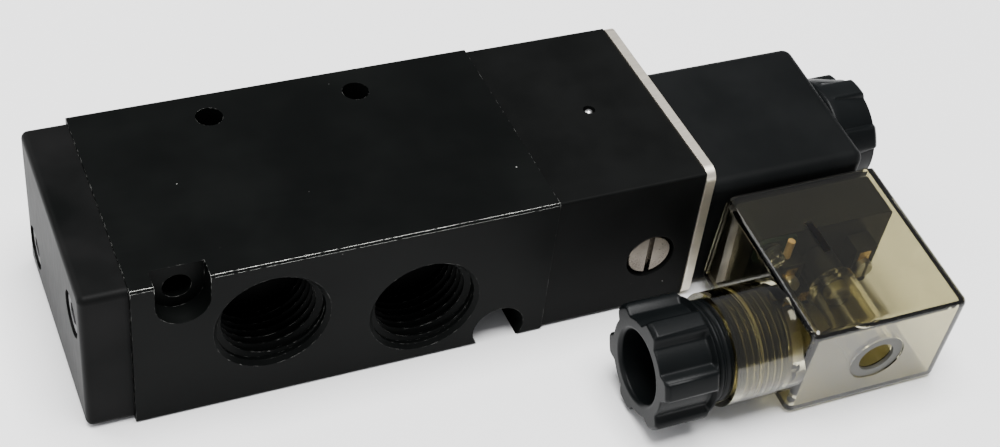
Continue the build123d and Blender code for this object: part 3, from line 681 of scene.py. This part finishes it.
@dataclass
class PortedBody:
    """The ported body, its end cap and the spool train."""

    chamfer: float = 0.8 * MM          # at each port's mouth
    half_inch_pitch: float = 1.814 * MM
    three_eighths_pitch: float = 1.337 * MM
    thread_height: float = 0.64        # share of the pitch
    half_inch_ports: Sequence[str] = ("work_port_a", "work_port_b", "supply_port")
    three_eighths_ports: Sequence[str] = ("exhaust_port_a", "exhaust_port_b")

    def port_thread(self, name: str, pitch: float) -> bpy.types.Object:
        """The thread inside one port, from just behind its chamfer.

        Args:
            name: the port's mount.
            pitch: the thread's pitch.

        Returns:
            The thread.
        """
        port = mount(name)
        low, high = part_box("main_body")
        outward = port["axis"][1]
        mouth = (low.y if outward < 0 else high.y) - outward * self.chamfer
        start = Vector((port["pos_m"][0], mouth, port["pos_m"][2]))
        radius = port["dims"]["r_mm"] * MM
        length = port["dims"]["length_mm"] * MM
        axis = Axis.PLUS_Y if outward < 0 else Axis.MINUS_Y
        return Thread(name + "_thread", start, axis, radius,
                      radius - pitch * self.thread_height, pitch, length).build()

    def build(self, dresser: Dresser) -> None:
        """Cut the port threads and dress the nodes.

        Args:
            dresser: puts each finish on.
        """
        for names, pitch in ((self.half_inch_ports, self.half_inch_pitch),
                             (self.three_eighths_ports, self.three_eighths_pitch)):
            for name in names:
                dresser.piece(self.port_thread(name, pitch), Finish.ANODISED, "valve_body",
                              "black_anodised")
        dresser.nodes(Finish.ANODISED, "main_body")
        dresser.nodes(Finish.CAP, "end_cap")
        dresser.nodes(Finish.BLACK_STEEL, "end_cap_screws")
        dresser.nodes(Finish.RUBBER, "end_cap_gasket", "spool_seals", "piston_seal")
        dresser.nodes(Finish.TURNED, "spool")
        dresser.nodes(Finish.WHITE, "pilot_piston")
        dresser.nodes(Finish.SPRING, "return_spring")


@dataclass
class PilotStage:
    """The pilot body, its breather and manual override, and the flange plate."""

    def build(self, dresser: Dresser) -> None:
        """Dress the nodes.

        Args:
            dresser: puts each finish on.
        """
        dresser.nodes(Finish.PILOT, "pilot_body")
        dresser.nodes(Finish.RUBBER, "pilot_gasket", "override_oring", "tube_oring")
        dresser.nodes(Finish.BRASS, "pilot_nozzle")
        dresser.nodes(Finish.SPRING, "breather_ball", "override_spring", "armature_spring")
        dresser.nodes(Finish.PIN, "override_pin")
        dresser.nodes(Finish.PLATE, "flange_plate")
        dresser.nodes(Finish.ZINC, "plate_screws")


@dataclass
class CoilOnTube:
    """The guide tube with its core and armature, and the coil held on it by a nut."""

    nut_bore_clearance: float = 0.1 * MM
    nut_recess: float = 2.2 * MM            # the end recess, outside the stud
    nut_recess_depth: float = 1.6 * MM
    nut_collar: float = 2.6 * MM            # the round rim at the coil's end
    nut_chamfer: float = 0.9 * MM
    nut_flute_depth: float = 1.5 * MM
    nut_lobe_share: float = 0.36
    nut_wall_share: float = 0.1
    nut_turned: float = 30.0
    flute_start: float = 0.1 * MM           # past the round rim
    stud_pitch: float = 1.0 * MM
    stud_thread_height: float = 0.08 * MM
    stud_steps: int = 32                    # round each turn of its thread

    def nut(self) -> bpy.types.Object:
        """The coil's nut, with six flutes that run out through its free end.

        Returns:
            The nut.
        """
        low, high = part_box("coil_nut")
        stud_low, stud_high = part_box("fixed_core")
        outer = (high.z - low.z) / 2
        stud = self.stud_radius()
        bore = stud + self.nut_bore_clearance
        recess = stud + self.nut_recess
        floor = high.x - self.nut_recess_depth
        cut = self.nut_chamfer
        section = ((low.x, bore), (low.x, outer - cut), (low.x + cut, outer),
                   (low.x + self.nut_collar, outer), (high.x - cut, outer),
                   (high.x, outer - cut), (high.x, recess), (floor, recess), (floor, bore))
        fluted = (low.x + self.nut_collar + self.flute_start, high.x + cut)
        return GripNut("coil_nut_moulding", "coil_nut", (stud_low + stud_high) / 2, section,
                       fluted, outer - self.nut_flute_depth, self.nut_lobe_share,
                       self.nut_wall_share, self.nut_turned).build()

    def stud_radius(self) -> float:
        """The stud's radius: the core's widest past the washer.

        Returns:
            The radius, in metres.
        """
        low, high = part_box("fixed_core")
        middle = (low + high) / 2
        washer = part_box("coil_washer")[1].x
        return max(math.hypot(v.co.y - middle.y, v.co.z - middle.z)
                   for v in frame["nodes"]["fixed_core"].data.vertices if v.co.x > washer)

    def stud_thread(self) -> bpy.types.Object:
        """The thread on the core's stud, from the washer's face to the stud's end.

        Returns:
            The thread.
        """
        low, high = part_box("fixed_core")
        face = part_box("coil_washer")[1].x
        radius = self.stud_radius()
        middle = (low + high) / 2
        return Thread("core_stud_thread", Vector((face, middle.y, middle.z)), Axis.PLUS_X,
                      radius, radius + self.stud_thread_height, self.stud_pitch,
                      high.x - face - self.stud_pitch, self.stud_steps).build()

    def build(self, dresser: Dresser) -> None:
        """Make the stud's thread and the nut, and dress the nodes.

        Args:
            dresser: puts each finish on.
        """
        dresser.piece(self.stud_thread(), Finish.TUBE, "valve_body", "stainless_tube")
        dresser.piece(self.nut(), Finish.NUT, "coil_nut_grip", "black_plastic")
        dresser.nodes(Finish.TUBE, "guide_tube", "fixed_core", "armature")
        dresser.nodes(Finish.RUBBER, "armature_seal", "plug_gasket")
        dresser.nodes(Finish.COIL, "coil_body")
        dresser.nodes(Finish.ZINC, "coil_yoke", "coil_washer")
        dresser.nodes(Finish.WHITE, "coil_bobbin")
        dresser.nodes(Finish.COPPER, "coil_winding")
        dresser.nodes(Finish.BRASS, "coil_terminals")


@dataclass
class CablePlug:
    """The smoky clear plug, what shows inside it, and its cable gland."""

    head_length: float = 11.5 * MM
    head_chamfer: float = 0.7 * MM
    flute_depth: float = 2.3 * MM
    lobe_share: float = 0.26
    wall_share: float = 0.3
    nut_turned: float = -21.0
    cable_radius: float = 7.26 * MM
    cable_flare: float = 0.6 * MM
    ring_outer: float = 5.8 * MM
    ring_inner: float = 3.75 * MM
    ring_thickness: float = 0.7 * MM
    ring_sunk: float = 0.98 * MM
    ring_steps: int = 72
    lean: float = 5.0                       # degrees, as the plug rests
    pitch: float = 1.5 * MM
    thread_shown: float = 4.0 * MM          # the male thread in front of the collar
    collar_clearance: float = 0.3 * MM      # round the grommet
    stem_end: float = 0.1 * MM              # what counts as the stem's inner end
    stem_thread_height: float = 0.42 * MM
    collar_thread_height: float = 0.36 * MM
    strip: Strip = Strip()

    def gland_nut(self) -> bpy.types.Object:
        """The gland's nut: a six-lobed head with open flutes, and its stem.

        Returns:
            The nut.
        """
        low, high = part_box("gland_nut")
        entry = mount("cable_entry")["pos_m"]
        outer = (high.z - low.z) / 2
        stem = self.stem_radius()
        back = low.x + self.head_length
        cut = self.head_chamfer
        bore = self.cable_radius
        section = ((low.x, bore + self.cable_flare), (low.x, outer - cut),
                   (low.x + cut, outer), (back - cut, outer), (back, outer - cut),
                   (back, stem), (high.x, stem), (high.x, bore),
                   (low.x + self.cable_flare, bore))
        return GripNut("gland_nut_moulding", "gland_nut", Vector((0.0, entry[1], entry[2])),
                       section, (low.x, back), outer - self.flute_depth, self.lobe_share,
                       self.wall_share, self.nut_turned).build()

    def leaned(self, piece: bmesh.types.BMesh, x: float) -> None:
        """Turn a piece made about Z so that it points out of the plug's front, at x.

        Args:
            piece: the mesh, with local +Z the way out and z = 0 on the front face.
            x: where its middle is along X.
        """
        entry = Vector(mount("cable_entry")["pos_m"])
        tilt = Matrix.Rotation(math.radians(self.lean), 4, "X")
        out = tilt.to_3x3() @ Vector((0.0, -1.0, 0.0))
        front = min(v.co.dot(-out) for v in frame["nodes"]["plug_housing"].data.vertices)
        place = Vector((x, entry.y, entry.z))
        place += out * (-front - place.dot(out))
        turn = tilt @ Matrix.Rotation(math.radians(90.0), 4, "X")
        bmesh.ops.transform(piece, matrix=Matrix.Translation(place) @ turn, verts=piece.verts)

    def hole_ring(self) -> bpy.types.Object:
        """The grey ring round the screw's hole, in its recess on the front face.

        Returns:
            The ring.
        """
        top, bottom = -self.ring_sunk + self.ring_thickness, -self.ring_sunk
        section = ((self.ring_inner, bottom), (self.ring_outer, bottom),
                   (self.ring_outer, top), (self.ring_inner, top))
        work = turned_ring(section, self.ring_steps)
        bmesh.ops.recalc_face_normals(work, faces=work.faces)
        screw_low, screw_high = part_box("plug_screw")
        self.leaned(work, (screw_low.x + screw_high.x) / 2)
        return to_object("screw_hole_ring", work)

    def indicator_lead(self) -> bpy.types.Object:
        """The bent gilt strip that joins the indicator's board to a contact.

        Returns:
            The strip.
        """
        low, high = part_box("indicator_board")
        lead = self.strip
        work = bmesh.new()
        rows = []
        for step in range(lead.steps + 1):
            share = step / lead.steps
            y = low.y - lead.forward + (share - 0.5) * lead.reach
            z = high.z + lead.rise * math.sin(math.pi * share) + lead.lift
            rows.append([work.verts.new((high.x + lead.gap + side * lead.width / 2, y, z))
                         for side in (-1, 1)])
        for near, far in zip(rows, rows[1:]):
            work.faces.new((near[0], near[1], far[1], far[0]))
        bmesh.ops.solidify(work, geom=work.faces[:], thickness=lead.thickness)
        bmesh.ops.recalc_face_normals(work, faces=work.faces)
        return to_object("indicator_contact_strip", work)

    def stem_thread(self) -> bpy.types.Object:
        """The gland nut's male thread, from its head to the stem's end.

        Returns:
            The thread.
        """
        low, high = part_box("gland_nut")
        entry = mount("cable_entry")["pos_m"]
        end = high.x
        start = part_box("plug_housing")[0].x - self.thread_shown
        radius = self.stem_radius()
        return Thread("gland_stem_thread", Vector((start, entry[1], entry[2])), Axis.PLUS_X,
                      radius, radius + self.stem_thread_height, self.pitch,
                      end - start).build()

    def stem_radius(self) -> float:
        """The stem's radius: the widest the nut is at its inner end.

        Returns:
            The radius, in metres.
        """
        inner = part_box("gland_nut")[1].x
        entry = mount("cable_entry")["pos_m"]
        return max(math.hypot(v.co.y - entry[1], v.co.z - entry[2])
                   for v in frame["nodes"]["gland_nut"].data.vertices
                   if v.co.x > inner - self.stem_end)

    def collar_thread(self) -> bpy.types.Object:
        """The collar's female thread, half a pitch out of step with the stem's.

        Returns:
            The thread.
        """
        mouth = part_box("plug_housing")[0].x
        entry = mount("cable_entry")["pos_m"]
        low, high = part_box("gland_grommet")
        radius = (high.z - low.z) / 2 + self.collar_clearance
        hidden_turns = math.ceil(self.thread_shown / self.pitch) + 0.5
        start = mouth - self.thread_shown + hidden_turns * self.pitch
        return Thread("collar_thread", Vector((start, entry[1], entry[2])), Axis.PLUS_X,
                      radius, radius - self.collar_thread_height, self.pitch,
                      high.x - start).build()

    def build(self, dresser: Dresser) -> None:
        """Make the threads, the gland nut, the ring and the strip, and dress the nodes.

        Args:
            dresser: puts each finish on.
        """
        dresser.piece(self.stem_thread(), Finish.NUT, "gland_nut_grip", "black_plastic")
        dresser.piece(self.collar_thread(), Finish.SMOKED, "coil_set", "smoked_clear")
        dresser.piece(self.gland_nut(), Finish.NUT, "gland_nut_grip", "black_plastic")
        dresser.piece(self.hole_ring(), Finish.RING, "coil_set", "seal_rubber")
        dresser.piece(self.indicator_lead(), Finish.GILT, "coil_set", "brass_parts")
        dresser.nodes(Finish.SMOKED, "plug_housing")
        dresser.nodes(Finish.INSERT, "plug_insert")
        dresser.nodes(Finish.BRASS, "plug_contacts")
        dresser.nodes(Finish.ZINC, "clamp_screws", "plug_screw")
        dresser.nodes(Finish.BOARD, "indicator_board")
        dresser.nodes(Finish.LED, "indicator_led")
        dresser.nodes(Finish.RESISTOR, "indicator_resistor")
        dresser.nodes(Finish.RUBBER, "gland_grommet")
        dresser.nodes(Finish.WHITE, "gland_washer")


# --- Studio ----------------------------------------------------------------------------------
@dataclass(frozen=True)
class SoftBox:
    """One rectangular studio light, aimed at the valve."""

    name: str
    place: tuple[float, float, float]
    size: float
    watts: float


@dataclass
class Studio:
    """A pale floor, soft light and the camera."""

    camera_place: tuple[float, float, float] = (-0.08790, -0.24530, 0.25909)
    azimuth: float = 27.91
    elevation: float = 42.29
    roll: float = 7.84
    lens: float = 64.74
    floor_size: float = 4.0
    floor_gap: float = 0.02 * MM
    floor_tones: tuple[Colour, Colour] = ((0.90, 0.90, 0.90, 1.0), (0.92, 0.92, 0.92, 1.0))
    floor_tones_per_m: float = 3.0
    sky: Colour = (0.95, 0.96, 1.0, 1.0)
    sky_strength: float = 0.42
    lights: Sequence[SoftBox] = (
        SoftBox("key light", (0.0, -0.1, 1.5), 1.0, 62.0),
        SoftBox("rim light", (-0.8, 0.9, 1.0), 0.7, 7.0),
        SoftBox("left light", (-1.1, -0.2, 0.6), 0.6, 3.5),
    )

    def floor(self) -> None:
        """The plain pale floor, just under the valve's rest face."""
        work = bmesh.new()
        bmesh.ops.create_grid(work, x_segments=1, y_segments=1, size=self.floor_size / 2)
        bmesh.ops.translate(work, vec=(0.0, 0.0, CAD_BOX[0].z - self.floor_gap),
                            verts=work.verts)
        made = to_object("floor", work)
        net = Net("pale_floor")
        tone = net.noise((self.floor_tones_per_m,) * 3)
        made.data.materials.append(net.surface({
            "Base Color": net.mix(tone, *self.floor_tones), "Roughness": 0.9}))

    def light(self) -> None:
        """The sky and the soft boxes."""
        world = bpy.data.worlds.new("studio")
        world.use_nodes = True
        background = world.node_tree.nodes["Background"]
        background.inputs["Color"].default_value = self.sky
        background.inputs["Strength"].default_value = self.sky_strength
        bpy.context.scene.world = world
        for box in self.lights:
            data = bpy.data.lights.new(box.name, "AREA")
            data.size = box.size
            data.energy = box.watts
            made = bpy.data.objects.new(box.name, data)
            made.location = box.place
            made.rotation_euler = (-Vector(box.place)).to_track_quat("-Z", "Y").to_euler()
            bpy.context.scene.collection.objects.link(made)

    def camera(self) -> None:
        """The camera, level first and then rolled."""
        data = bpy.data.cameras.new("camera")
        data.lens = self.lens
        made = bpy.data.objects.new("camera", data)
        level = Matrix.Rotation(math.radians(-self.azimuth), 4, "Z")
        tilt = Matrix.Rotation(math.radians(90.0 - self.elevation), 4, "X")
        roll = Matrix.Rotation(math.radians(self.roll), 4, "Z")
        made.matrix_world = Matrix.Translation(self.camera_place) @ level @ tilt @ roll
        bpy.context.scene.collection.objects.link(made)
        bpy.context.scene.camera = made

    def build(self) -> None:
        """Set up everything that isn't the valve."""
        self.camera()
        self.floor()
        self.light()


def main() -> None:
    """Build the studio, then each sub-assembly in turn."""
    logging.basicConfig(level=logging.INFO, format="%(message)s")
    Studio().build()
    dresser = Dresser()
    for assembly in (PortedBody(), PilotStage(), CoilOnTube(), CablePlug()):
        assembly.build(dresser)


if __name__ == "__main__":
    main()
